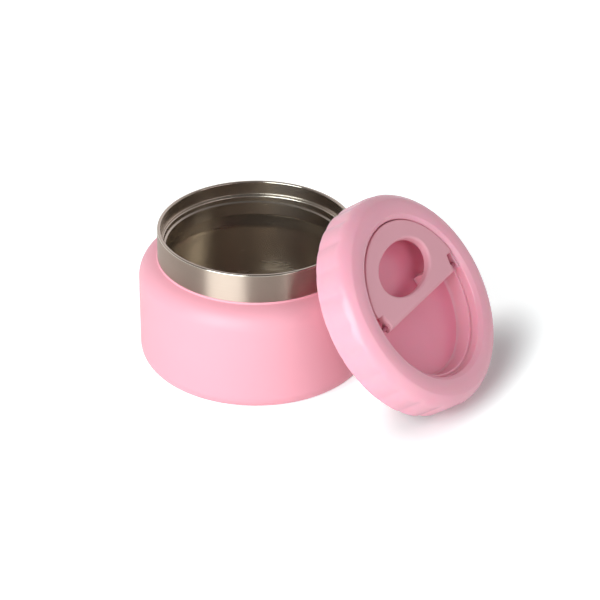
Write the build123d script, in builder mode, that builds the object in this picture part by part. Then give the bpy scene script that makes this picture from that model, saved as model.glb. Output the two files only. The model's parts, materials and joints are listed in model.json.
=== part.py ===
"""Insulated food jar with its screw lid taken off and leaning on the jar's rim.

Millimetres. The origin is the centre of the jar's base on the surface it stands on, +Z up.
The lid is drawn in its own frame: u across the handle's hinge, v towards the handle's arc,
h along the lid's axis from the open edge of the skirt (h = 0) to the top of the rim.
"""

from build123d import *
from math import acos, atan2, cos, hypot, radians, sin, sqrt
import os

# ---------------------------------------------------------------- jar, driving sizes
sheet = 0.6  # drawn steel, both walls and both bases

throat_radius = 39.1  # inside wall that carries the thread
ledge_width = 1.3  # of the ledge that the seal lands on
lip_wall = 1.5  # from the mouth's inside to the bare neck's outside
shoulder_width = 8.1  # from the neck out to the body
vacuum_space = 4.8  # between the two walls

jar_height = 60.9
neck_height = 13.5
shoulder_fall = 2.1  # how far the shoulder's slope drops from the neck to the wall's line
shoulder_round = 9.6
neck_root_round = 0.6
foot_round = 6.6  # outside corner between wall and base
foot_flat = 2.4  # width of the ring the jar stands on
lip_round = 0.55
lip_depth = 1.0  # height of the weld that joins the two walls

ledge_depth = 6.2  # from the lip down to the ledge
ledge_round = 0.7
mouth_root_round = 0.4  # between the ledge and the wall above it
throat_height = 9.4
throat_edge_round = 0.8
cavity_shoulder_round = 3.8
cavity_floor_round = 8.0

# ---------------------------------------------------------------- jar, base and vacuum parts
pan_rim_height = 1.6
inner_base_height = 2.8  # top of the plate that closes the vacuum
inner_base_rim_gap = 1.4  # between the outer pan's rim and this plate's rim
floor_space = 3.2  # vacuum between that plate and the liner's floor
pit_radius = 5.0
pit_slope = 1.0
pit_rise = 1.2
vent_radius = 0.5
bead_radius = 3.0
bead_height = 1.0
getter_offset = 20.0
getter_radius = 6.0
getter_cup_height = 1.9
getter_cup_wall = 0.4
getter_pellet_height = 1.2

# ---------------------------------------------------------------- screw thread, jar and plug
thread_pitch = 3.0
thread_clearance = 0.3  # radial, from the plug's crest to the throat
thread_base_width = 2.1
thread_crest_width = 0.8
thread_sink = 0.3  # how far each rib is rooted in its wall
jar_thread_height = 0.75  # inward from the throat's wall
jar_thread_drop = 4.2  # below the ledge, where the rib begins
jar_thread_turns = 0.97
plug_thread_height = 0.9
plug_thread_rise = 2.6  # above the plug's end, where the rib begins
plug_thread_turns = 1.2

# ---------------------------------------------------------------- lid cover, driving sizes
lid_height = 17.9
skirt_clearance = 2.6  # between the neck and the skirt
skirt_wall = 2.4
skirt_edge_round = 0.7
flute_count = 24
flute_arc = 19.0  # radius of one flute's arc
flute_valley_round = 1.2
crown_wall = 2.4
crown_round = 8.3

rim_fall = 1.6  # from the rim's top to the edge of the recess
rim_slope_width = 2.4  # the part of the rim that falls inwards
rim_break_round = 4.0
rim_inner_round = 1.3
recess_wall = 1.9
recess_clearance = 1.8  # between the recess wall's back and the plug's collar
ledge_height = 12.4  # ledge that the handle folds down to
handle_ledge_width = 1.9
well_draft = 1.3  # how far the well's wall leans in from the ledge to the floor
well_depth = 6.2
well_top_round = 0.6
well_floor_round = 1.7
well_wall = 1.9

# ---------------------------------------------------------------- handle and hinge
handle_thickness = 3.5
handle_gap = 0.4  # between the handle's arc and the recess wall
handle_seat_gap = 0.2  # between the folded handle and the ledge
handle_chord = -1.6  # v of the straight edge
handle_edge_round = 0.5
pad_rise = 1.3  # of the flat on the recess wall at each hinge
pad_clearance = 0.35
pad_depth = 1.6  # how far the pad reaches into the wall
pad_height = 3.5
pad_end = 9.2  # v where the flat has run out into the round wall
notch_width = 3.25  # cut from each side of the handle, beside the pins
shoulder_v = 6.2  # v where the handle widens again above the notch
notch_corner_round = 0.9
notch_side_round = 1.6
finger_hole_v = 14.7
finger_hole_half_width = 19.2
finger_hole_half_depth = 10.7
finger_hole_round = 1.2

hinge_v = 0.7
hinge_rise = 1.0  # of the hinge's axis above the folded handle's underside
pin_radius = 1.0
pin_hold = 5.0  # length of pin pressed into the handle
pin_running_clearance = 0.08
pin_end_clearance = 0.4
pin_reach = 2.8  # length of pin inside the cover, from the pad's face
knuckle_radius = 2.0
knuckle_length = 8.0
boss_wall = 1.4  # of the pin boss behind the recess wall
boss_half_width = 2.5

post_inner = 13.65  # u of the inner side of each rest post
post_width = 5.4
post_front = 2.3  # v of the side that stops the raised handle
post_back = 6.0
post_clearance = 0.3  # under the folded handle

# ---------------------------------------------------------------- plug, seal and filling
plug_drop = 3.8  # how far the plug stands out of the skirt
plug_floor = 1.8
plug_wall = 1.8
plug_edge_round = 1.2
flange_edge_round = 0.6
floor_ring_radius = 24.0
floor_ring_width = 1.6
floor_ring_depth = 0.5
collar_clearance = 0.4  # between the collar and the jar's mouth
collar_wall = 1.8
collar_weld_margin = 0.2  # flat left outside the collar where it meets the cover
flange_height = 8.6  # underside of the flange above the seal
flange_thickness = 1.6
seal_seat_height = 1.9
seal_seat_depth = 0.7
seal_clearance = 0.25  # between the seal and the jar's mouth
seal_lip_drop = 0.35  # sealing lip below the seal's body
seal_gap = 0.1
seal_edge_round = 0.2
filling_gap = 0.2

# ---------------------------------------------------------------- how the lid leans on the jar
lean_azimuth = 61.65  # degrees, of the hinge line in plan
lean_inset = 5.32  # from the edge of the plug's end in to where it touches the lip
lid_turn = -1.0  # degrees, of the hinge line from level
lid_side_shift = 3.1
table_gap = 0.1
rim_gap = 0.3

# ---------------------------------------------------------------- derived: jar
mouth_radius = throat_radius + ledge_width
neck_radius = mouth_radius + lip_wall
body_radius = neck_radius + shoulder_width
cavity_radius = body_radius - vacuum_space - 2 * sheet
foot_radius = body_radius - foot_round - foot_flat  # edge of the hole the base closes
lip_seam_radius = neck_radius - sheet  # where liner and shell meet at the lip
neck_root_height = jar_height - neck_height
ledge_z = jar_height - ledge_depth
throat_foot = ledge_z - throat_height
cavity_floor = inner_base_height + floor_space + sheet
inner_base_radius = foot_radius + inner_base_rim_gap + sheet
pit_ceiling = inner_base_height + pit_rise - sheet
jar_axis = Axis((0, 0, 0), (0, 0, 1))

# ---------------------------------------------------------------- derived: lid cover
skirt_inner_radius = neck_radius + skirt_clearance
flute_radius = skirt_inner_radius + skirt_wall  # crest of the flutes
flute_pitch = 360 / flute_count
flute_centre_radius = flute_radius - flute_arc
collar_radius = mouth_radius - collar_clearance
collar_inner = collar_radius - collar_wall
recess_back = collar_inner - recess_clearance
recess_radius = recess_back - recess_wall
rim_break_radius = recess_radius + rim_slope_width
handle_ledge_radius = recess_radius - handle_ledge_width
well_radius = handle_ledge_radius - well_draft
crown_under = lid_height - crown_wall
crown_inner_round = skirt_inner_radius - collar_radius - collar_weld_margin
rim_inner_height = lid_height - rim_fall
ledge_under = ledge_height - well_wall
well_floor = ledge_height - well_depth
well_under = well_floor - well_wall

# ---------------------------------------------------------------- derived: handle, plug and seal
handle_radius = recess_radius - handle_gap
handle_under = ledge_height + handle_seat_gap
hinge_height = handle_under + hinge_rise
pad_face = recess_radius - pad_rise
handle_side = pad_face - pad_clearance
knuckle_face = handle_side - notch_width
pin_inner = knuckle_face - pin_hold
pin_outer = pad_face + pin_reach
pin_hole_end = pin_outer + pin_end_clearance
boss_outer = pin_hole_end + boss_wall
plug_root_radius = throat_radius - thread_clearance - plug_thread_height
plug_inner = plug_root_radius - plug_wall
plug_thread_start = plug_thread_rise - plug_drop
seal_radius = mouth_radius - seal_clearance
seal_seat_radius = plug_root_radius - seal_seat_depth
seal_seat_foot = flange_height - seal_seat_height

# ---------------------------------------------------------------- derived: lid frame
azimuth = radians(lean_azimuth)
turn = radians(lid_turn)
level = Vector(cos(azimuth), sin(azimuth), 0)
away = Vector(sin(azimuth), -cos(azimuth), 0)
# the lid touches the table on the flute nearest to its lowest point
lowest_turn = (270 - lid_turn) % flute_pitch
nearest_crest = abs(lowest_turn - flute_pitch / 2)
rest_radius = flute_centre_radius * cos(radians(nearest_crest)) + flute_arc

# the plug's flat end lies against the outside of the jar's lip, which sets the lid's slope
lean_reach = plug_root_radius - lean_inset
lean_span = rest_radius + lean_reach
lip_offset = plug_drop + rim_gap + lip_round
lip_rise = jar_height - lip_round - table_gap
elevation = acos(lip_rise / hypot(lean_span, lip_offset)) - atan2(lip_offset, lean_span)
centre_z = rest_radius * cos(elevation) + table_gap
centre_away = (
    neck_radius - lip_round + lip_offset * cos(elevation) + lean_reach * sin(elevation)
)

lid_up = away * cos(elevation) + Vector(0, 0, sin(elevation))
uphill = lid_up.cross(level)
lid_origin = level * lid_side_shift + away * centre_away + Vector(0, 0, centre_z)

across = level * cos(turn) + uphill * sin(turn)
lid_plane = Plane(origin=lid_origin, x_dir=across, z_dir=lid_up)
towards_arc = lid_plane.y_dir
lid_section = Plane(origin=lid_origin, x_dir=across, z_dir=-towards_arc)
lid_axis = Axis(lid_origin, lid_up)
hinge_point = lid_plane.from_local_coords(Vector(0, hinge_v, hinge_height))
hinge_plane = Plane(origin=hinge_point, x_dir=towards_arc, z_dir=across)


def rounded_outline(points, radii):
    """Draws a closed outline through points, each corner rounded by its own radius."""
    FilletPolyline(*points, radius=radii, close=True)


def sheet_outline(points, radii, side):
    """Draws the section of a pressed sheet along points, its thickness laid to one side."""
    FilletPolyline(*points, radius=radii)
    offset(amount=sheet, side=side)


def radial(angle, radius):
    """A point of a plan drawing, by its angle in degrees and its radius."""
    return (radius * cos(radians(angle)), radius * sin(radians(angle)))


def rib_path(axis_point, direction, radius, turns):
    """The helix that a thread's rib follows."""
    return Helix(
        pitch=thread_pitch,
        height=thread_pitch * turns,
        radius=radius,
        center=axis_point,
        direction=direction,
        mode=Mode.PRIVATE,
    )


def rib_plane(path, axis_point, direction):
    """The plane across a rib's start: x points out from the axis, y along it."""
    outwards = path @ 0 - axis_point
    return Plane(origin=path @ 0, x_dir=outwards, z_dir=outwards.cross(direction))


def rib_outline(root, crest):
    """Draws a rib's section, its root and crest measured outwards from the helix."""
    half_base = thread_base_width / 2
    half_crest = thread_crest_width / 2
    Polyline(
        (root, -half_base),
        (crest, -half_crest),
        (crest, half_crest),
        (root, half_base),
        close=True,
    )


# ================================================================ jar
# Outer shell: drawn steel cup, open at the base, with the bare neck at its top.
with BuildPart() as outer_shell:
    with BuildSketch(Plane.XZ):
        with BuildLine():
            sheet_outline(
                [
                    (foot_radius, 0),
                    (body_radius, 0),
                    (body_radius, neck_root_height - shoulder_fall),
                    (neck_radius, neck_root_height),
                    (neck_radius, jar_height),
                ],
                [foot_round, shoulder_round, neck_root_round],
                Side.LEFT,
            )
        make_face()
    revolve(axis=jar_axis)
    lip_edges = outer_shell.edges().group_by(Axis.Z)[-1].sort_by(SortBy.RADIUS)
    fillet(lip_edges[-1], radius=lip_round)
outer_shell.part.label = "outer_shell"

# Inner liner: the food side, with the ledge for the seal, the rolled thread and the lip.
with BuildPart() as inner_liner:
    with BuildSketch(Plane.XZ):
        with BuildLine():
            sheet_outline(
                [
                    (0, cavity_floor),
                    (cavity_radius, cavity_floor),
                    (cavity_radius, throat_foot),
                    (throat_radius, throat_foot),
                    (throat_radius, ledge_z),
                    (mouth_radius, ledge_z),
                    (mouth_radius, jar_height),
                ],
                [
                    cavity_floor_round,
                    cavity_shoulder_round,
                    throat_edge_round,
                    ledge_round,
                    mouth_root_round,
                ],
                Side.RIGHT,
            )
        make_face()
    revolve(axis=jar_axis)
    with BuildSketch(Plane.XZ):
        with Locations((mouth_radius, jar_height)):
            Rectangle(lip_seam_radius - mouth_radius, lip_depth, align=(Align.MIN, Align.MAX))
    revolve(axis=jar_axis)
    lip_edges = inner_liner.edges().group_by(Axis.Z)[-1].sort_by(SortBy.RADIUS)
    fillet(lip_edges[0], radius=lip_round)
    thread_base = Vector(0, 0, ledge_z - jar_thread_drop)
    jar_helix = rib_path(thread_base, (0, 0, 1), throat_radius, jar_thread_turns)
    with BuildSketch(rib_plane(jar_helix, thread_base, Vector(0, 0, 1))):
        with BuildLine():
            rib_outline(thread_sink, -jar_thread_height)
        make_face()
    sweep(path=jar_helix, is_frenet=True)
inner_liner.part.label = "inner_liner"

# Inner base: the plate that closes the vacuum, with a pit and a vent hole at its centre.
with BuildPart() as inner_base:
    with BuildSketch(Plane.XZ):
        with BuildLine():
            sheet_outline(
                [
                    (0, inner_base_height + pit_rise),
                    (pit_radius - pit_slope, inner_base_height + pit_rise),
                    (pit_radius, inner_base_height),
                    (inner_base_radius, inner_base_height),
                    (inner_base_radius, sheet),
                ],
                [0, 0, sheet + sheet / 2],
                Side.RIGHT,
            )
        make_face()
    revolve(axis=jar_axis)
    with BuildSketch(Plane.XY.offset(inner_base_height)):
        Circle(vent_radius)
    extrude(amount=pit_rise, mode=Mode.SUBTRACT)
inner_base.part.label = "inner_base"

# Glass bead that sealed the vent when the air had been drawn out.
with BuildPart() as seal_bead:
    with BuildSketch(Plane.XY.offset(pit_ceiling)):
        Circle(bead_radius)
    extrude(amount=-bead_height)
    fillet(seal_bead.edges().group_by(Axis.Z)[0], radius=bead_height / 2)
seal_bead.part.label = "seal_bead"

# Outer base: the flat pan that the jar stands on, welded into the shell's foot.
with BuildPart() as outer_base:
    with BuildSketch(Plane.XZ):
        with BuildLine():
            sheet_outline(
                [(0, 0), (foot_radius, 0), (foot_radius, pan_rim_height)],
                [0],
                Side.LEFT,
            )
        make_face()
    revolve(axis=jar_axis)
outer_base.part.label = "outer_base"

# Getter: a pellet in a small steel cup, spot-welded on the vacuum side of the inner base.
with BuildPart() as getter_cup:
    with BuildSketch(Plane.XY.offset(inner_base_height)):
        with Locations((getter_offset, 0)):
            Circle(getter_radius)
    extrude(amount=getter_cup_height)
    with BuildSketch(Plane.XY.offset(inner_base_height + getter_cup_wall)):
        with Locations((getter_offset, 0)):
            Circle(getter_radius - getter_cup_wall)
    extrude(amount=getter_cup_height, mode=Mode.SUBTRACT)
getter_cup.part.label = "getter_cup"

with BuildPart() as getter_pellet:
    with BuildSketch(Plane.XY.offset(inner_base_height + getter_cup_wall)):
        with Locations((getter_offset, 0)):
            Circle(getter_radius - getter_cup_wall)
    extrude(amount=getter_pellet_height)
getter_pellet.part.label = "getter_pellet"

# ================================================================ lid
# Cover: one moulding, with the fluted skirt, the rounded rim and the stepped recess.
with BuildPart() as lid_cover:
    with BuildSketch(lid_section):
        with BuildLine():
            rounded_outline(
                [
                    (0, well_under),
                    (well_radius + well_wall, well_under),
                    (handle_ledge_radius + well_wall, ledge_under),
                    (recess_back, ledge_under),
                    (recess_back, crown_under),
                    (skirt_inner_radius, crown_under),
                    (skirt_inner_radius, 0),
                    (flute_radius, 0),
                    (flute_radius, lid_height),
                    (rim_break_radius, lid_height),
                    (recess_radius, rim_inner_height),
                    (recess_radius, ledge_height),
                    (handle_ledge_radius, ledge_height),
                    (well_radius, well_floor),
                    (0, well_floor),
                ],
                [
                    0,
                    well_floor_round + well_wall,
                    well_top_round,
                    0,
                    0,
                    crown_inner_round,
                    skirt_edge_round,
                    skirt_edge_round,
                    crown_round,
                    rim_break_round,
                    rim_inner_round,
                    0,
                    well_top_round,
                    well_floor_round,
                    0,
                ],
            )
        make_face()
    revolve(axis=lid_axis)

    # flats on the recess wall that face the handle's hinges
    with BuildSketch(lid_plane.offset(ledge_under)):
        with Locations((pad_face, (handle_chord + pad_end) / 2)):
            Rectangle(pad_depth, pad_end - handle_chord, align=(Align.MIN, Align.CENTER))
        mirror(about=Plane.YZ)
    extrude(amount=ledge_height + pad_height - ledge_under)

    # bosses behind the wall for the ends of the hinge pins
    with BuildSketch(lid_plane.offset(ledge_under)):
        with Locations((recess_radius, hinge_v)):
            Rectangle(
                boss_outer - recess_radius, 2 * boss_half_width, align=(Align.MIN, Align.CENTER)
            )
        mirror(about=Plane.YZ)
    extrude(amount=crown_under - ledge_under)

    # posts that carry the folded handle and stop the raised one
    with BuildSketch(lid_plane.offset(well_under)):
        with Locations((post_inner, post_front)):
            Rectangle(post_width, post_back - post_front, align=(Align.MIN, Align.MIN))
        mirror(about=Plane.YZ)
    extrude(amount=handle_under - post_clearance - well_under)

    with BuildSketch(hinge_plane):
        Circle(pin_radius + pin_running_clearance)
    extrude(amount=pin_hole_end, both=True, mode=Mode.SUBTRACT)

    # the fluted outline, which runs out where the rim's round turns inwards
    valley = flute_pitch / 2
    valley_offset = flute_centre_radius * sin(radians(valley))
    valley_radius = flute_centre_radius * cos(radians(valley)) + sqrt(
        flute_arc**2 - valley_offset**2
    )
    with BuildSketch(lid_plane):
        with BuildLine():
            for flute in range(flute_count):
                crest = (flute + 0.5) * flute_pitch
                ThreePointArc(
                    radial(crest - valley, valley_radius),
                    radial(crest, flute_radius),
                    radial(crest + valley, valley_radius),
                )
        flutes = make_face()
        fillet(flutes.vertices(), radius=flute_valley_round)
    extrude(amount=lid_height, mode=Mode.INTERSECT)
lid_cover.part.label = "lid_cover"

# Plug: the inner moulding that screws into the jar, welded to the cover at its collar.
with BuildPart() as lid_plug:
    with BuildSketch(lid_section):
        with BuildLine():
            rounded_outline(
                [
                    (0, -plug_drop),
                    (plug_root_radius, -plug_drop),
                    (plug_root_radius, seal_seat_foot),
                    (seal_seat_radius, seal_seat_foot),
                    (seal_seat_radius, flange_height),
                    (collar_radius, flange_height),
                    (collar_radius, crown_under),
                    (collar_inner, crown_under),
                    (collar_inner, flange_height + flange_thickness),
                    (plug_inner, flange_height + flange_thickness),
                    (plug_inner, plug_floor - plug_drop),
                    (0, plug_floor - plug_drop),
                ],
                [0, plug_edge_round, 0, 0, 0, flange_edge_round, 0, 0, 0, 0, 0, 0],
            )
        make_face()
    revolve(axis=lid_axis)
    with BuildSketch(lid_plane.offset(-plug_drop)):
        Circle(floor_ring_radius)
        Circle(floor_ring_radius - floor_ring_width, mode=Mode.SUBTRACT)
    extrude(amount=floor_ring_depth, mode=Mode.SUBTRACT)
    thread_base = lid_plane.from_local_coords(Vector(0, 0, plug_thread_start))
    plug_helix = rib_path(thread_base, lid_up, plug_root_radius, plug_thread_turns)
    with BuildSketch(rib_plane(plug_helix, thread_base, lid_up)):
        with BuildLine():
            rib_outline(-thread_sink, plug_thread_height)
        make_face()
    sweep(path=plug_helix, is_frenet=True)
lid_plug.part.label = "lid_plug"

# Seal: a silicone ring in the seat under the plug's flange, with a lip that meets the ledge.
with BuildPart() as seal_ring:
    with BuildSketch(lid_section):
        with BuildLine():
            rounded_outline(
                [
                    (seal_seat_radius, seal_seat_foot + seal_gap),
                    (throat_radius, seal_seat_foot + seal_gap),
                    (throat_radius + seal_lip_drop, seal_seat_foot - seal_lip_drop),
                    (seal_radius, seal_seat_foot - seal_lip_drop),
                    (seal_radius, flange_height - seal_gap),
                    (seal_seat_radius, flange_height - seal_gap),
                ],
                [seal_edge_round / 2, 0, seal_edge_round / 2, seal_edge_round, seal_edge_round, 0],
            )
        make_face()
    revolve(axis=lid_axis)
seal_ring.part.label = "seal_ring"

# Filling: the foam disc between the cover's well and the plug's floor.
with BuildPart() as lid_foam:
    with BuildSketch(lid_plane.offset(plug_floor - plug_drop)):
        Circle(plug_inner - filling_gap)
    extrude(amount=well_under - (plug_floor - plug_drop))
lid_foam.part.label = "lid_foam"

# Handle: a half-round plate that folds flat into the recess, with an oval finger hole.
with BuildPart() as handle:
    with BuildSketch(lid_plane.offset(handle_under)) as plate:
        Circle(handle_radius)
        with Locations((0, handle_chord)):
            Rectangle(
                2 * handle_side,
                handle_radius - handle_chord,
                align=(Align.CENTER, Align.MIN),
                mode=Mode.INTERSECT,
            )
        with Locations((knuckle_face, handle_chord)):
            Rectangle(
                handle_side - knuckle_face,
                shoulder_v - handle_chord,
                align=(Align.MIN, Align.MIN),
                mode=Mode.SUBTRACT,
            )
        with Locations((-knuckle_face, handle_chord)):
            Rectangle(
                handle_side - knuckle_face,
                shoulder_v - handle_chord,
                align=(Align.MAX, Align.MIN),
                mode=Mode.SUBTRACT,
            )
        # the outer corners below the shoulders, beside the notches
        shoulder_corners = plate.vertices().group_by(Axis.Y)[1].sort_by(Axis.X)
        fillet([shoulder_corners[0], shoulder_corners[-1]], radius=notch_corner_round)
        with Locations((0, finger_hole_v)):
            Ellipse(finger_hole_half_width, finger_hole_half_depth, mode=Mode.SUBTRACT)
    extrude(amount=handle_thickness)

    top_face = handle.faces().sort_by(lid_axis)[-1]
    fillet(top_face.inner_wires()[0].edges(), radius=finger_hole_round)
    top_face = handle.faces().sort_by(lid_axis)[-1]
    side_edges = top_face.outer_wire().edges().filter_by(Axis(lid_origin, towards_arc))
    notch_edges = side_edges.sort_by_distance(hinge_point)[:2]
    fillet(notch_edges, radius=notch_side_round)
    top_face = handle.faces().sort_by(lid_axis)[-1]
    arc_edge = top_face.outer_wire().edges().sort_by(Axis(lid_origin, towards_arc))[-1]
    fillet(arc_edge, radius=handle_edge_round)

    # round knuckles along the straight edge, bored for the pins
    for side in (-1, 1):
        with BuildSketch(hinge_plane.offset(side * (knuckle_face - knuckle_length))):
            Circle(knuckle_radius)
        extrude(amount=side * knuckle_length)
    for side in (-1, 1):
        with BuildSketch(hinge_plane.offset(side * pin_inner)):
            Circle(pin_radius)
        extrude(amount=side * (handle_side - pin_inner), mode=Mode.SUBTRACT)
handle.part.label = "handle"


def hinge_pin(side, label):
    """A steel pin, pressed into the handle's knuckle and turning in the cover's boss."""
    with BuildPart() as pin:
        with BuildSketch(hinge_plane.offset(side * pin_inner)):
            Circle(pin_radius)
        extrude(amount=side * (pin_outer - pin_inner))
    pin.part.label = label
    return pin


left_pin = hinge_pin(-1, "hinge_pin_left")
right_pin = hinge_pin(1, "hinge_pin_right")

pieces = [
    outer_shell,
    inner_liner,
    inner_base,
    seal_bead,
    outer_base,
    getter_cup,
    getter_pellet,
    lid_cover,
    lid_plug,
    seal_ring,
    lid_foam,
    handle,
    left_pin,
    right_pin,
]
os.makedirs("parts", exist_ok=True)
for piece in pieces:
    export_step(piece.part, f"parts/{piece.part.label}.step")
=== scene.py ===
"""An insulated food jar, open, with its screw lid leaning on the rim.

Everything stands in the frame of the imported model: the origin lies under the jar's centre,
+Z is up. The object's sizes are written in millimetres, and the lamps and the camera in
metres. A section is a list of corners as (radius, height, rounding). The lid's pieces are
modelled upright on the Z axis, from the open edge of the skirt, and then set leaning.
"""

import json
from math import atan2, cos, pi, radians, sin, sqrt, tan, tau

import bmesh
import bpy
from mathutils import Matrix, Vector


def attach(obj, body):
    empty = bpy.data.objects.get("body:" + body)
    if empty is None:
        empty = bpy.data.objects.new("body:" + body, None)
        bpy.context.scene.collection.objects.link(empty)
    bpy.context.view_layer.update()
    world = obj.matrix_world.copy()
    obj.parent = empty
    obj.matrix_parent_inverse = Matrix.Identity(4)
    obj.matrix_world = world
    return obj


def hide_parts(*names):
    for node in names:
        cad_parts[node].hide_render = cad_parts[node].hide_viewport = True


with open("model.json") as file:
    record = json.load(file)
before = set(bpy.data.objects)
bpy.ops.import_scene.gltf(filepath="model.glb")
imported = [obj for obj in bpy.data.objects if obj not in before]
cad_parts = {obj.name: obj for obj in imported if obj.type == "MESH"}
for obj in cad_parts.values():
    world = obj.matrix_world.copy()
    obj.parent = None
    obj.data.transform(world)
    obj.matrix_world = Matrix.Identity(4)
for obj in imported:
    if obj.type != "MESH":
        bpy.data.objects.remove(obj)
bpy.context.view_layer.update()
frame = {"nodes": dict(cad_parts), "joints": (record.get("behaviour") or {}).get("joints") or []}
nodes = frame["nodes"]
mm = 0.001

# ---------------------------------------------------------------- jar body
# The outside of the jar: a drawn steel cup with a pale pink powder coat, which ends
# in a soft edge at the bare neck. Its section is drawn corner by corner and spun.
sheet = 0.6  # thickness of the steel
body_radius = 50.0
pan_radius = 41.0  # of the pan that closes the foot
coat_edge_height = 48.15
body_section = [
    (pan_radius, 0.0, 0),
    (body_radius, 0.0, 6.6),
    (body_radius, 45.3, 9.6),
    (42.25, 47.31, 0.5),
    (42.12, coat_edge_height, 0.12),
    (41.7, coat_edge_height, 0),
    (41.7, 46.8, 0),
    (body_radius - sheet, 44.8, 8.8),
    (body_radius - sheet, sheet, 6.0),
    (pan_radius, sheet, 0),
]
facet = radians(9)  # of a rounded corner


def rounded(section, closed):
    """The points of a section given as (radius, height, rounding) in millimetres."""
    points = []
    last = len(section) - 1
    for index, (across, height, rounding) in enumerate(section):
        corner = Vector((across, 0, height)) * mm
        if rounding == 0 or (not closed and index in (0, last)):
            points.append(corner)
            continue
        before, after = section[index - 1], section[(index + 1) % len(section)]
        inward = (Vector((before[0], 0, before[1])) * mm - corner).normalized()
        onward = (Vector((after[0], 0, after[1])) * mm - corner).normalized()
        opening = inward.angle(onward)
        centre = corner + (inward + onward).normalized() * (rounding * mm / sin(opening / 2))
        reach = rounding * mm / tan(opening / 2)
        spoke = corner + inward * reach - centre
        swept = pi - opening
        side = 1 if inward.cross(onward).y > 0 else -1
        facets = max(2, round(swept / facet))
        for step in range(facets + 1):
            angle = -side * swept * step / facets
            points.append(centre + Matrix.Rotation(angle, 3, "Y") @ spoke)
    if closed:
        points.append(points[0].copy())
    return points


def pick(*pieces):
    """Selects only these objects and makes the first of them the active one."""
    bpy.ops.object.select_all(action="DESELECT")
    for piece in pieces:
        piece.select_set(True)
    bpy.context.view_layer.objects.active = pieces[0]


def start_vertex(name, place):
    """A new mesh in edit mode that holds one selected vertex."""
    bpy.ops.object.select_all(action="DESELECT")
    bpy.ops.mesh.primitive_plane_add(size=mm)
    piece = bpy.context.object
    piece.name = piece.data.name = name
    bpy.ops.object.mode_set(mode="EDIT")
    bpy.ops.mesh.merge(type="CENTER")
    bpy.ops.transform.translate(value=place)
    return piece


def turned(name, section, closed=False, steps=192):
    """A piece whose section is drawn edge by edge and spun once round the Z axis."""
    points = rounded(section, closed)
    piece = start_vertex(name, points[0])
    for here, there in zip(points, points[1:]):
        bpy.ops.mesh.extrude_region_move(TRANSFORM_OT_translate={"value": there - here})
    bpy.ops.mesh.select_all(action="SELECT")
    bpy.ops.mesh.spin(steps=steps, angle=tau, center=(0, 0, 0), axis=(0, 0, 1))
    bpy.ops.mesh.select_all(action="SELECT")
    bpy.ops.mesh.remove_doubles(threshold=0.001 * mm)
    bpy.ops.mesh.normals_make_consistent(inside=False)
    bpy.ops.object.mode_set(mode="OBJECT")
    return piece


def smooth(piece, crease=38):
    """Shades a piece smooth, its flats kept flat and its sharp edges sharp."""
    pick(piece)
    bpy.ops.object.shade_smooth_by_angle(angle=radians(crease))
    bpy.ops.object.modifier_add(type="WEIGHTED_NORMAL")
    piece.modifiers[-1].keep_sharp = True
    bpy.ops.object.modifier_apply(modifier=piece.modifiers[-1].name)


def linear(code):
    """An sRGB hex colour as linear red, green, blue and alpha."""
    channels = [int(code[index : index + 2], 16) / 255 for index in (1, 3, 5)]
    return [c / 12.92 if c <= 0.04045 else ((c + 0.055) / 1.055) ** 2.4 for c in channels] + [1]


def add_node(material, kind, settings=None, links=None):
    """Adds a node, gives it its settings and joins other nodes' outputs to its inputs."""
    node = material.node_tree.nodes.new(kind)
    sockets = {s.name: s for s in reversed(node.inputs)} | {s.identifier: s for s in node.inputs}
    for key, value in (settings or {}).items():
        if key in sockets:
            sockets[key].default_value = value
        else:
            setattr(node, key, value)
    for key, output in (links or {}).items():
        material.node_tree.links.new(output, sockets[key])
    return node


def feed(material, socket, output):
    """Joins a node's output to a socket of a material's surface."""
    surface = material.node_tree.nodes["Principled BSDF"]
    material.node_tree.links.new(output, surface.inputs[socket])


def start_material(name, finish):
    """A new material with a finish, given by socket, and its place in Object coordinates."""
    material = bpy.data.materials.new(name)
    material.use_nodes = True
    surface = material.node_tree.nodes["Principled BSDF"]
    for socket, value in finish.items():
        surface.inputs[socket].default_value = value
    return material, add_node(material, "ShaderNodeTexCoord").outputs["Object"]


def add_noise(material, place, grain, detail=2):
    """A soft noise whose lumps are about a grain across, in metres."""
    settings = {"Scale": 1 / grain, "Detail": detail}
    return add_node(material, "ShaderNodeTexNoise", settings, {"Vector": place}).outputs["Fac"]


def mottle(material, factor, first, second):
    """Colours a material between two sRGB colours by a factor."""
    colours = {"data_type": "RGBA", "A_Color": linear(first), "B_Color": linear(second)}
    tint = add_node(material, "ShaderNodeMix", colours, {"Factor_Float": factor})
    feed(material, "Base Color", tint.outputs[2])


def emboss(material, height, strength, depth):
    """Lets a texture raise a material's surface by up to a depth, in metres."""
    settings = {"Strength": strength, "Distance": depth}
    relief = add_node(material, "ShaderNodeBump", settings, {"Height": height})
    feed(material, "Normal", relief.outputs["Normal"])


# Powder coat: polyester powder sprayed dry and baked. It is satin, and shows a faint
# orange peel of about a millimetre and a very slight unevenness of colour.
powder_coat, place = start_material(
    "pink_powder_coat", {"Roughness": 0.42, "Specular IOR Level": 0.45}
)
mottle(powder_coat, add_noise(powder_coat, place, 35 * mm, 3), "#f3a6b5", "#f7adba")
emboss(powder_coat, add_noise(powder_coat, place, 1.1 * mm), 0.12, 0.04 * mm)

body_coat = turned("body_coat", body_section, closed=True)
smooth(body_coat)
body_coat.data.materials.append(powder_coat)
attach(body_coat, "jar")
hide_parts("outer_shell")

# ---------------------------------------------------------------- bare neck
# The top of the same drawn cup, left uncoated: stainless steel, brushed on the lathe,
# so its scratches run round the jar and its highlights are drawn out upwards.
jar_height = 60.9
neck_radius = 41.9
weld_radius = 41.3  # where neck and liner meet
neck_root = 46.9
lip_round = 0.55
neck_section = [
    (neck_radius, neck_root, 0),
    (neck_radius, jar_height, lip_round),
    (weld_radius, jar_height, 0),
    (weld_radius, neck_root, 0),
]

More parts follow.
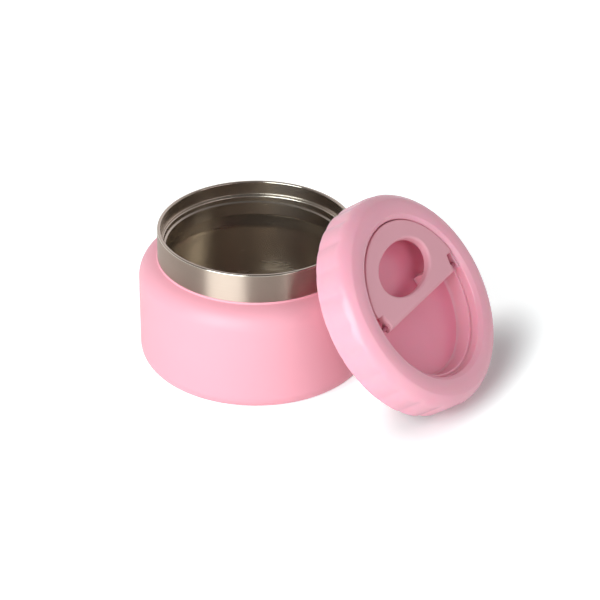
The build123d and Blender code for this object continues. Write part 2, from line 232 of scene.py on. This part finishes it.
# Brushed 18/8 stainless steel: warm grey, with fine scratches round the axis. A real
# scratch is 0.05 mm wide; it is drawn four times as wide so that it shows.
scratch_width = 0.2 * mm
scratch_length = 14 * mm


def calculate(material, operation, first, second, clamp=False):
    """The sum or product of an output and another output or a number."""
    settings = {"operation": operation, "use_clamp": clamp}
    links = {"Value": first}
    if isinstance(second, float):
        settings["Value_001"] = second
    else:
        links["Value_001"] = second
    return add_node(material, "ShaderNodeMath", settings, links).outputs["Value"]


def length_of(material, vector):
    """The length of a vector."""
    settings = {"operation": "LENGTH"}
    return add_node(material, "ShaderNodeVectorMath", settings, {"Vector": vector}).outputs["Value"]


def ramp(material, value, start, end, low, high, shape="LINEAR"):
    """A value that goes from low to high while another goes from start to end."""
    settings = {"interpolation_type": shape, "From Min": start, "From Max": end}
    settings |= {"To Min": low, "To Max": high}
    return add_node(material, "ShaderNodeMapRange", settings, {"Value": value}).outputs["Result"]


def polish_rings(material, factor, low, high):
    """Varies a steel's roughness by a factor, and runs its grain round the Z axis."""
    round_z = add_node(material, "ShaderNodeTangent", {"direction_type": "RADIAL", "axis": "Z"})
    feed(material, "Roughness", ramp(material, factor, 0.0, 1.0, low, high))
    feed(material, "Tangent", round_z.outputs["Tangent"])


brushed_steel, place = start_material(
    "brushed_stainless_steel",
    {"Metallic": 1.0, "Anisotropic": 1.0, "Anisotropic Rotation": 0.25},
)
parts = add_node(brushed_steel, "ShaderNodeSeparateXYZ", links={"Vector": place}).outputs
level_place = add_node(
    brushed_steel, "ShaderNodeCombineXYZ", links={"X": parts["X"], "Y": parts["Y"]}
)
out = length_of(brushed_steel, level_place.outputs["Vector"])
out_and_up = calculate(brushed_steel, "ADD", out, parts["Z"])
grain_place = add_node(
    brushed_steel,
    "ShaderNodeCombineXYZ",
    links={
        "X": calculate(brushed_steel, "MULTIPLY", parts["X"], 1 / scratch_length),
        "Y": calculate(brushed_steel, "MULTIPLY", parts["Y"], 1 / scratch_length),
        "Z": calculate(brushed_steel, "MULTIPLY", out_and_up, 1 / scratch_width),
    },
)
scratches = add_noise(brushed_steel, grain_place.outputs["Vector"], 1.0, 3)
mottle(brushed_steel, scratches, "#b3a194", "#bdab9e")
emboss(brushed_steel, scratches, 0.10, 0.02 * mm)
polish_rings(brushed_steel, scratches, 0.42, 0.48)

bare_neck = turned("bare_neck", neck_section, closed=True)
smooth(bare_neck)
bare_neck.data.materials.append(brushed_steel)
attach(bare_neck, "jar")
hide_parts("outer_shell")

# ---------------------------------------------------------------- inner liner
# The food side: one drawn and rolled stainless cup, with the lip welded to the neck,
# the ledge the seal lands on, a throat that carries the thread, and a wide round cavity.
throat_radius = 39.1
cavity_radius = 44.0
cavity_floor = 6.6
mouth_radius = 40.4
ledge_height = 54.7
liner_section = [
    (0.0, cavity_floor, 0),
    (cavity_radius, cavity_floor, 8.0),
    (cavity_radius, 37.0, 9.0),
    (41.6, 44.3, 2.5),
    (throat_radius, 45.3, 0.8),
    (throat_radius, ledge_height, 0.7),
    (mouth_radius, ledge_height, 0.4),
    (mouth_radius, jar_height, lip_round),
    (weld_radius, jar_height, 0),
    (weld_radius, 59.9, 0),
    (mouth_radius + sheet, 59.9, 0),
    (mouth_radius + sheet, ledge_height - sheet, 0.9),
    (throat_radius + sheet, ledge_height - sheet, 0),
    (throat_radius + sheet, 45.8, 0.4),
    (42.0, 44.9, 2.5),
    (cavity_radius + sheet, 37.0, 9.0),
    (cavity_radius + sheet, cavity_floor - sheet, 8.6),
    (0.0, cavity_floor - sheet, 0),
]
thread_pitch = 3.0
jar_thread_start = 50.5
jar_thread_turns = 0.97
jar_thread_depth = 0.75
rib_half_foot = 1.05
rib_half_crest = 0.4
rib_sink = 0.3  # how far a rib's foot lies within the wall
rib_steps = 168  # in one turn
rib_run_out = radians(14)


def join(piece, *others):
    """Joins other objects into a piece."""
    pick(piece, *others)
    bpy.ops.object.join()


def add_rib(piece, radius, height, start, turns, outwards):
    """Winds a screw thread's rib round the Z axis, tapers its ends and joins it to a piece."""
    sink = -rib_sink if outwards else rib_sink
    crest = height if outwards else -height
    outline = [
        (radius + sink, start - rib_half_foot),
        (radius + crest, start - rib_half_crest),
        (radius + crest, start + rib_half_crest),
        (radius + sink, start + rib_half_foot),
    ]
    points = [Vector((across, 0, up)) * mm for across, up in outline]
    rib = start_vertex("thread_rib", points[0])
    for here, there in zip(points, points[1:]):
        bpy.ops.mesh.extrude_region_move(TRANSFORM_OT_translate={"value": there - here})
    bpy.ops.mesh.select_all(action="SELECT")
    bpy.ops.mesh.edge_face_add()
    bpy.ops.mesh.delete(type="ONLY_FACE")
    bpy.ops.object.mode_set(mode="OBJECT")
    winding = rib.modifiers.new("winding", "SCREW")
    winding.axis = "Z"
    winding.angle = tau * turns
    winding.screw_offset = thread_pitch * turns * mm
    winding.steps = winding.render_steps = round(rib_steps * turns)
    bpy.ops.object.modifier_apply(modifier=winding.name)
    mesh = rib.data
    sunk = (radius + 2 * sink) * mm
    for vertex in mesh.vertices:
        turn = (vertex.co.z - start * mm) / (thread_pitch * mm) * tau
        share = min(1, max(0, min(turn, tau * turns - turn) / rib_run_out))
        out = sqrt(vertex.co.x**2 + vertex.co.y**2)
        kept = (sunk + (out - sunk) * share) / out
        vertex.co.x *= kept
        vertex.co.y *= kept
    bpy.ops.object.mode_set(mode="EDIT")
    bpy.ops.mesh.select_all(action="SELECT")
    bpy.ops.mesh.normals_make_consistent(inside=False)
    bpy.ops.object.mode_set(mode="OBJECT")
    join(piece, rib)


inner_liner = turned("food_liner", liner_section)
add_rib(
    inner_liner, throat_radius, jar_thread_depth, jar_thread_start, jar_thread_turns, outwards=False
)
smooth(inner_liner)

# Electropolished stainless steel: smoother than the brushed neck, with only faint lathe
# lines left. The real ones are 0.3 mm apart, and are drawn four times as far. The weld
# at the lip is ground and polished brighter still.
line_pitch = 1.2 * mm
line_length = 40 * mm
lip_weld_bottom = 60.35


def lathe_steel(name, low, high):
    """Polished stainless steel with faint lathe lines, and a roughness from low to high."""
    finish = {"Metallic": 1.0, "Anisotropic": 0.5, "Anisotropic Rotation": 0.25}
    steel, place = start_material(name, finish)
    scale = {"Scale": (1 / line_length, 1 / line_length, 1 / line_pitch)}
    drawn = add_node(steel, "ShaderNodeMapping", scale, {"Vector": place})
    lines = add_noise(steel, drawn.outputs["Vector"], 1.0)
    mottle(steel, lines, "#c3b9ad", "#c6bcb0")
    emboss(steel, lines, 0.01, 0.02 * mm)
    polish_rings(steel, lines, low, high)
    return steel


polished_steel = lathe_steel("electropolished_stainless_steel", 0.26, 0.28)
weld_steel = lathe_steel("polished_steel_weld", 0.10, 0.12)
inner_liner.data.materials.append(polished_steel)
for piece in (inner_liner, bare_neck):
    piece.data.materials.append(weld_steel)
    for face in piece.data.polygons:
        if face.center.z > lip_weld_bottom * mm:
            face.material_index = 1
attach(inner_liner, "jar")
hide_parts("inner_liner")

# ---------------------------------------------------------------- base and vacuum parts
# The pan the jar stands on, the plate that closes the vacuum, and the getter's cup are
# pressed from the same steel; the pellet is grey metal powder; the vent's bead is glass.


def dress(node, material):
    """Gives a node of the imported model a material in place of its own."""
    nodes[node].data.materials.clear()
    nodes[node].data.materials.append(material)


for node in ("outer_base", "inner_base", "getter_cup"):
    dress(node, brushed_steel)

# Pressed getter powder: dark, dull and granular, with grains of about 0.3 mm.
getter_powder, place = start_material("pressed_getter_powder", {"Roughness": 0.85})
grains = add_node(
    getter_powder, "ShaderNodeTexVoronoi", {"Scale": 1 / (0.3 * mm)}, {"Vector": place}
)
mottle(getter_powder, grains.outputs["Distance"], "#46464a", "#5e5e62")
dress("getter_pellet", getter_powder)

# Solder glass: melted into the pit, clear grey-green with a few small bubbles.
solder_glass, place = start_material(
    "solder_glass", {"Roughness": 0.08, "Transmission Weight": 0.8}
)
mottle(solder_glass, add_noise(solder_glass, place, 0.8 * mm), "#c3d0cb", "#d9e2de")
dress("seal_bead", solder_glass)

# ---------------------------------------------------------------- lid cover
# One pink moulding: a skirt of 24 shallow flutes, a fat rounded rim, and a stepped
# recess with two flats at the hinges and two posts that the handle folds down on. Its
# axes across and towards_arc run along the hinge and towards the handle's round side.
hinge = next(joint for joint in frame["joints"] if joint["name"] == "handle_hinge")
slide = next(joint for joint in frame["joints"] if joint["name"] == "lid_slide")
hinge_height = 13.6
hinge_ahead = 0.7
across = Vector(hinge["axis"]).normalized()
lid_up = Vector(slide["axis"]).normalized()
towards_arc = lid_up.cross(across)
lid_centre = Vector(hinge["pos_m"]) - towards_arc * hinge_ahead * mm - lid_up * hinge_height * mm
lid_axes = Matrix((across, towards_arc, lid_up)).transposed().to_4x4()
lid_place = Matrix.Translation(lid_centre) @ lid_axes

flute_count = 24
flute_crest = 46.9
flute_arc = 19.0
fluted_from = 45.6  # only what lies further out is fluted
skirt_inside = 44.5
recess_radius = 34.5
ledge = 12.4
recess_floor = 6.2
recess_floor_edge = 30.8
hinge_flat_corners = (33.2, -1.6, 10.6), (35.2, 9.2, 15.0)
post_corners = (13.65, 2.3, 5.0), (19.05, 6.0, 12.3)
cover_section = [
    (0.0, 4.3, 0),
    (33.2, 4.3, 3.6),
    (34.5, 10.5, 0.6),
    (36.4, 10.5, 0.3),
    (36.4, 15.5, 0.3),
    (skirt_inside, 15.5, 4.3),
    (skirt_inside, 0.0, 0.7),
    (flute_crest, 0.0, 0.7),
    (flute_crest, 13.2, 7.8),
    (43.3, 16.6, 3.0),
    (40.3, 17.9, 9.0),
    (36.25, 17.1, 0.8),
    (recess_radius, 15.6, 1.0),
    (recess_radius, ledge - 0.4, 0.5),
    (33.7, ledge - 0.4, 0.25),
    (33.3, ledge, 0.25),
    (32.6, ledge, 0.3),
    (31.3, recess_floor, 1.7),
    (0.0, recess_floor, 0),
]


def plain_block(low, high):
    """A sharp-edged block between two corners, in millimetres."""
    low, high = Vector(low) * mm, Vector(high) * mm
    bpy.ops.object.select_all(action="DESELECT")
    bpy.ops.mesh.primitive_cube_add(size=1, location=(low + high) / 2, scale=high - low)
    bpy.ops.object.transform_apply(location=True, rotation=False, scale=True)
    return bpy.context.object


def block(name, low, high, edge):
    """A named block between two corners, in millimetres, with its edges rounded."""
    piece = plain_block(low, high)
    piece.name = piece.data.name = name
    bpy.ops.object.mode_set(mode="EDIT")
    bpy.ops.mesh.select_all(action="SELECT")
    bpy.ops.mesh.bevel(offset=edge * mm, segments=4, affect="EDGES")
    bpy.ops.object.mode_set(mode="OBJECT")
    return piece


def block_pair(name, low, high, edge):
    """The same block on either side of the lid's middle."""
    mirrored_low, mirrored_high = (-high[0], *low[1:]), (-low[0], *high[1:])
    return block(name, low, high, edge), block(name, mirrored_low, mirrored_high, edge)


def lean(piece):
    """Sets a piece of the lid from upright at the origin to its place against the jar."""
    pick(piece)
    piece.matrix_world = lid_place
    bpy.ops.object.transform_apply(location=True, rotation=True, scale=True)


lid_cover = turned("lid_moulding", cover_section, steps=12 * flute_count)
flute_pitch = tau / flute_count
flute_centre = flute_crest - flute_arc
for vertex in lid_cover.data.vertices:
    out = sqrt(vertex.co.x**2 + vertex.co.y**2)
    if out > fluted_from * mm:
        from_crest = (atan2(vertex.co.y, vertex.co.x) % flute_pitch) - flute_pitch / 2
        half_chord = sqrt(flute_arc**2 - (flute_centre * sin(from_crest)) ** 2)
        kept = min(1, (flute_centre * cos(from_crest) + half_chord) * mm / out)
        vertex.co.x *= kept
        vertex.co.y *= kept

hinge_flats = block_pair("hinge_flat", *hinge_flat_corners, 0.5)
posts = block_pair("post", *post_corners, 0.35)
join(lid_cover, *hinge_flats, *posts)
smooth(lid_cover)


def moulded_plastic(name, deep, light, roughness):
    """Moulded polypropylene, pink right through, with a little light carried under the skin."""
    finish = {"Roughness": roughness, "IOR": 1.49, "Subsurface Weight": 0.35}
    finish |= {"Subsurface Radius": (1.0, 0.25, 0.45), "Subsurface Scale": 3 * mm}
    plastic, place = start_material(name, finish)
    mottle(plastic, add_noise(plastic, place, 25 * mm, 3), deep, light)
    emboss(plastic, add_noise(plastic, place, 0.5 * mm), 0.08, 0.03 * mm)
    return plastic


# The cover is satin, with a faint spark-eroded texture from the mould of about half a millimetre.
# The floor of the recess is a little glossier, and is painted a deeper pink: painted shade for the
# shade and pink bounce light that gather in the recess.
lid_plastic = moulded_plastic("pink_moulded_polypropylene", "#f4aabb", "#f8b3c3", 0.26)
recess_shade_plastic = moulded_plastic("pink_polypropylene_painted_recess_shade", "#f692ab", "#fa9ab2", 0.22)
lid_cover.data.materials.append(lid_plastic)
lid_cover.data.materials.append(recess_shade_plastic)
# The faces of the recess floor take the painted shade of the recess.
for face in lid_cover.data.polygons:
    out = sqrt(face.center.x**2 + face.center.y**2)
    if out < recess_floor_edge * mm and abs(face.center.z / mm - recess_floor) < 0.4:
        face.material_index = 1
lean(lid_cover)
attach(lid_cover, "lid")
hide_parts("lid_cover")

# ---------------------------------------------------------------- plug
# The inner moulding, welded to the cover at its collar: a shallow cup with a raised
# thread round it and a ring marked in its floor, of the same plastic as the cover.
plug_radius = 37.9
plug_bottom = -3.8
seat_radius = 37.2  # of the groove that holds the seal
plug_collar = 40.0
plug_thread_start = -1.2
plug_thread_turns = 1.2
plug_thread_depth = 0.9
plug_section = [
    (0.0, plug_bottom, 0),
    (22.4, plug_bottom, 0),
    (22.4, -3.3, 0),
    (24.0, -3.3, 0),
    (24.0, plug_bottom, 0),
    (plug_radius, plug_bottom, 1.2),
    (plug_radius, 6.7, 0),
    (seat_radius, 6.7, 0),
    (seat_radius, 8.6, 0),
    (plug_collar, 8.6, 0.6),
    (plug_collar, 15.5, 0),
    (38.2, 15.5, 0),
    (38.2, 10.2, 0),
    (36.1, 10.2, 0),
    (36.1, -2.0, 0),
    (0.0, -2.0, 0),
]
lid_plug = turned("plug_moulding", plug_section)
add_rib(
    lid_plug, plug_radius, plug_thread_depth, plug_thread_start, plug_thread_turns, outwards=True
)
smooth(lid_plug)
lean(lid_plug)
lid_plug.data.materials.append(lid_plastic)
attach(lid_plug, "lid")
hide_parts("lid_plug")

# ---------------------------------------------------------------- seal
# A silicone ring stretched into the seat above the plug's thread, with a thin lip
# on its lower edge that meets the jar's ledge.
seal_radius = 40.15
seal_section = [
    (seat_radius, 6.8, 0.1),
    (39.1, 6.8, 0),
    (39.45, 6.35, 0.1),
    (seal_radius, 6.35, 0.2),
    (seal_radius, 8.5, 0.2),
    (seat_radius, 8.5, 0),
]
seal_ring = turned("silicone_seal", seal_section, closed=True)
smooth(seal_ring)
lean(seal_ring)

# Silicone rubber: milky and soft to the light, with a dry surface.
silicone, place = start_material(
    "milky_silicone",
    {"Roughness": 0.5, "IOR": 1.41, "Subsurface Weight": 0.5, "Subsurface Scale": 2 * mm},
)
mottle(silicone, add_noise(silicone, place, 6 * mm), "#dcdad7", "#e8e6e3")
seal_ring.data.materials.append(silicone)
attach(seal_ring, "lid")
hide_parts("seal_ring")

# ---------------------------------------------------------------- filling
# Rigid foam that fills the hollow between cover and plug. It can't be seen.
foam, place = start_material("rigid_white_foam", {"Roughness": 0.9})
cells = add_node(foam, "ShaderNodeTexVoronoi", {"Scale": 1 / (0.8 * mm)}, {"Vector": place})
mottle(foam, cells.outputs["Distance"], "#e4e3df", "#f2f1ee")
dress("lid_foam", foam)

# ---------------------------------------------------------------- handle
# A half-round plate with an oval finger hole that folds flat into the recess. It is
# notched beside each pin, and its top edges are rounded most at the hole and notches.
handle_bottom = 12.6
handle_top = 16.1
handle_arc = 34.1
handle_chord = -1.6
handle_side = 32.85
notch_side = 28.9
notch_end = 6.2
hole_ahead = 14.7
hole_half_width = 19.2
hole_half_depth = 10.7
side_round = 0.9
hole_round = 1.2
notch_round = 2.3
arc_round = 0.9
under_hole_round = 0.4
chord_round = 0.35
knuckle_radius = 2.0
knuckle_length = 8.0
beyond = 40  # cutters end further out, lower and higher than the handle
cutter_start = -10
cutter_top = 30


def cut(piece, cutter, operation="DIFFERENCE"):
    """Cuts one object from another, or keeps what they share, and removes the cutter."""
    pick(piece)
    boolean = piece.modifiers.new("cut", "BOOLEAN")
    boolean.operation = operation
    boolean.solver = "EXACT"
    boolean.object = cutter
    bpy.ops.object.modifier_apply(modifier=boolean.name)
    bpy.data.objects.remove(cutter)


def round_edges(piece, chosen, width, segments):
    """Rounds the edges of a piece that chosen picks by their two ends, in millimetres."""
    pick(piece)
    bpy.ops.object.mode_set(mode="EDIT")
    bpy.ops.mesh.select_mode(type="EDGE")
    bpy.ops.mesh.select_all(action="DESELECT")
    mesh = bmesh.from_edit_mesh(piece.data)
    for edge in mesh.edges:
        ends = [vertex.co / mm for vertex in edge.verts]
        edge.select_set(chosen(*ends))
    mesh.select_flush_mode()
    bmesh.update_edit_mesh(piece.data)
    bpy.ops.mesh.bevel(offset=width * mm, segments=segments, affect="EDGES", clamp_overlap=True)
    bpy.ops.mesh.select_mode(type="VERT")
    bpy.ops.object.mode_set(mode="OBJECT")


bpy.ops.object.select_all(action="DESELECT")
bpy.ops.mesh.primitive_cylinder_add(
    vertices=256,
    radius=handle_arc * mm,
    depth=(handle_top - handle_bottom) * mm,
    location=(0, 0, (handle_top + handle_bottom) / 2 * mm),
)
bpy.ops.object.transform_apply(location=True, rotation=False, scale=False)
handle = bpy.context.object
handle.name = handle.data.name = "handle_plate"
cut(
    handle,
    plain_block((-handle_side, handle_chord, 0), (handle_side, beyond, cutter_top)),
    "INTERSECT",
)
for side in (-1, 1):
    near, far = sorted((side * notch_side, side * beyond))
    cut(handle, plain_block((near, cutter_start, 0), (far, notch_end, cutter_top)))
bpy.ops.object.select_all(action="DESELECT")
bpy.ops.mesh.primitive_cylinder_add(
    vertices=128,
    radius=1,
    depth=cutter_top * mm,
    location=(0, hole_ahead * mm, cutter_top / 2 * mm),
)
hole_cutter = bpy.context.object
hole_cutter.scale = (hole_half_width * mm, hole_half_depth * mm, 1)
bpy.ops.object.transform_apply(location=True, rotation=False, scale=True)
cut(handle, hole_cutter)


def near_to(value, target, slack=0.02):
    """True where a length is a target, give or take a slack in millimetres."""
    return abs(value - target) < slack


def on_hole(point):
    """True for a point on the wall of the finger hole."""
    share = (point.x / hole_half_width) ** 2 + ((point.y - hole_ahead) / hole_half_depth) ** 2
    return near_to(share, 1)


def on_top(point):
    """True for a point on the handle's top face."""
    return point.z > handle_top - 0.01


def on_bottom(point):
    """True for a point on the handle's underside."""
    return point.z < handle_bottom + 0.01


def on_notch(point):
    """True for a point on the side of a notch."""
    return near_to(abs(point.x), notch_side) and point.y < notch_end + 0.02


def on_arc(point):
    """True for a point on the handle's round side."""
    return near_to(sqrt(point.x**2 + point.y**2), handle_arc)


def on_chord(point):
    """True for a point on the handle's straight side."""
    return near_to(point.y, handle_chord, 0.01)


def on_side(point):
    """True for a point at the end of the round side, next to a notch."""
    return near_to(abs(point.x), handle_side, 0.3) and point.y < 7


def both(a, b, *tests):
    """True where both ends of an edge pass every test."""
    return all(test(a) and test(b) for test in tests)


round_edges(handle, lambda a, b: abs(a.z - b.z) > 1 and both(a, b, on_side), side_round, 4)
round_edges(handle, lambda a, b: both(a, b, on_top, on_hole), hole_round, 7)
round_edges(handle, lambda a, b: both(a, b, on_top, on_notch), notch_round, 8)
round_edges(handle, lambda a, b: both(a, b, on_top, on_arc), arc_round, 5)
round_edges(handle, lambda a, b: both(a, b, on_bottom, on_hole), under_hole_round, 3)
round_edges(
    handle, lambda a, b: near_to(a.z, b.z, 0.01) and both(a, b, on_chord), chord_round, 3
)

knuckles = []
for side in (-1, 1):
    bpy.ops.object.select_all(action="DESELECT")
    knuckle_middle = side * (notch_side - knuckle_length / 2) * mm
    bpy.ops.mesh.primitive_cylinder_add(
        vertices=64,
        radius=knuckle_radius * mm,
        depth=knuckle_length * mm,
        location=(knuckle_middle, hinge_ahead * mm, hinge_height * mm),
        rotation=(0, pi / 2, 0),
    )
    bpy.ops.object.transform_apply(location=True, rotation=True, scale=False)
    knuckles.append(bpy.context.object)
join(handle, *knuckles)
smooth(handle)
lean(handle)

# Moulded polypropylene again, from a mould with a coarser, dull texture: the colour
# looks greyer, and the surface carries a fine frosting of about 0.4 mm.
handle_plastic, place = start_material(
    "frosted_pink_polypropylene", {"Roughness": 0.6, "IOR": 1.49}
)
mottle(handle_plastic, add_noise(handle_plastic, place, 20 * mm, 3), "#eba9b6", "#efb0bc")
emboss(handle_plastic, add_noise(handle_plastic, place, 0.4 * mm), 0.2, 0.05 * mm)
handle.data.materials.append(handle_plastic)
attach(handle, "handle")
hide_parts("handle")

# ---------------------------------------------------------------- hinge pins
# Two short pins of ground steel wire, 2 mm thick, pressed into the handle. Their colour is painted
# shade: a deep pink that stands in for the shade and pink reflection in the notches around them. It
# is satin, with a fine unevenness of about 0.3 mm.
pin_notch_shade_paint, place = start_material("steel_wire_painted_notch_shade", {"Roughness": 0.4})
mottle(pin_notch_shade_paint, add_noise(pin_notch_shade_paint, place, 0.3 * mm), "#b2566d", "#bf6279")
for node in ("hinge_pin_left", "hinge_pin_right"):
    dress(node, pin_notch_shade_paint)

# ---------------------------------------------------------------- floor
# A plain white studio floor. It is lifted to white where it is seen, also in the steel,
# except in an oval patch behind the lid, where it keeps the lid's shadow. near_lift
# rises from the patch's middle outwards, and far_lift with the distance from the jar.
share_in_steel = 0.62
shadow_middle = (88 * mm, -22 * mm, 0)
shadow_turn = radians(61)
shadow_half_length = 55 * mm
shadow_half_width = 20 * mm
bpy.ops.object.select_all(action="DESELECT")
bpy.ops.mesh.primitive_plane_add(size=60)
floor = bpy.context.object
floor.name = "studio_floor"
white_floor, place = start_material(
    "white_studio_floor",
    {
        "Base Color": linear("#eef3f2"),
        "Roughness": 0.9,
        "Specular IOR Level": 0.0,
        "Emission Color": (0.975, 1.0, 0.995, 1),
    },
)
rays = add_node(white_floor, "ShaderNodeLightPath").outputs
seen_in_steel = calculate(white_floor, "MULTIPLY", rays["Is Glossy Ray"], share_in_steel)
seen = calculate(white_floor, "ADD", rays["Is Camera Ray"], seen_in_steel)
seen_too = calculate(white_floor, "ADD", seen, rays["Is Transmission Ray"], clamp=True)
behind_lid = add_node(
    white_floor,
    "ShaderNodeMapping",
    {
        "vector_type": "TEXTURE",
        "Location": shadow_middle,
        "Rotation": (0, 0, shadow_turn),
        "Scale": (shadow_half_length, shadow_half_width, 1),
    },
    {"Vector": place},
)
from_shadow = length_of(white_floor, behind_lid.outputs["Vector"])
near_lift = ramp(white_floor, from_shadow, 0.52, 1.45, 0.0, 0.64, "SMOOTHSTEP")
far_lift = ramp(white_floor, length_of(white_floor, place), 0.2, 0.6, 0.0, 0.4)
lift = calculate(white_floor, "ADD", near_lift, far_lift)
feed(white_floor, "Emission Strength", calculate(white_floor, "MULTIPLY", seen_too, lift))
floor.data.materials.append(white_floor)

# ---------------------------------------------------------------- light
# A wide soft box ahead on the left and a weak one on the right, in a warm pale room that
# is bright low down and behind the object, and dim above and in front of it.
front, back = -0.2, 0.4  # how far the direction points backwards
eye_level, overhead = 0.42, 0.75  # how far it points up
low_front, low_back = 0.36, 0.9  # brightness of the room
high_front, high_back = 0.07, 0.35
aim_point = Vector((0.02, 0, 0.03))
world = bpy.data.worlds.new("pale_room")
bpy.context.scene.world = world
world.use_nodes = True
direction = add_node(world, "ShaderNodeTexCoord").outputs["Generated"]
parts = add_node(world, "ShaderNodeSeparateXYZ", links={"Vector": direction}).outputs
room = add_node(
    world,
    "ShaderNodeMix",
    {"data_type": "FLOAT"},
    {
        "Factor_Float": ramp(world, parts["Z"], eye_level, overhead, 0.0, 1.0, "SMOOTHSTEP"),
        "A_Float": ramp(world, parts["Y"], front, back, low_front, low_back),
        "B_Float": ramp(world, parts["Y"], front, back, high_front, high_back),
    },
)
backdrop = world.node_tree.nodes["Background"]
backdrop.inputs["Color"].default_value = (1.0, 0.94, 0.955, 1)
world.node_tree.links.new(room.outputs[0], backdrop.inputs["Strength"])


def soft_box(name, place, size, power, colour):
    """A rectangular lamp that points at the object."""
    lamp = bpy.data.lights.new(name, "AREA")
    lamp.shape = "RECTANGLE"
    lamp.size, lamp.size_y = size
    lamp.energy = power
    lamp.color = colour
    box = bpy.data.objects.new(name, lamp)
    bpy.context.scene.collection.objects.link(box)
    box.location = place
    aim = aim_point - Vector(place)
    box.rotation_euler = aim.to_track_quat("-Z", "Y").to_euler()


soft_box("left_soft_box", (-0.662, -1.034, 0.50), (0.98, 1.1), 20, (0.91, 1.0, 1.01))
soft_box("right_soft_box", (0.98, -0.80, 0.45), (0.9, 0.7), 3.2, (1.0, 1.0, 1.0))

# ---------------------------------------------------------------- camera
# A long lens, thirty degrees above the table and straight ahead of the jar.
target = Vector((18.788, 0, 24.871)) * mm
distance = 1.0544
raised = radians(30.535)
rolled = radians(0.464)
lens = bpy.data.cameras.new("camera")
lens.lens = 147.14
lens.sensor_width = 36
lens.clip_end = 50
camera = bpy.data.objects.new("camera", lens)
bpy.context.scene.collection.objects.link(camera)
spot = target + Vector((0, -cos(raised), sin(raised))) * distance
camera.matrix_world = (
    Matrix.Translation(spot)
    @ Matrix.Rotation(pi / 2 - raised, 4, "X")
    @ Matrix.Rotation(rolled, 4, "Z")
)
bpy.context.scene.camera = camera
bpy.context.scene.view_settings.view_transform = "Standard"
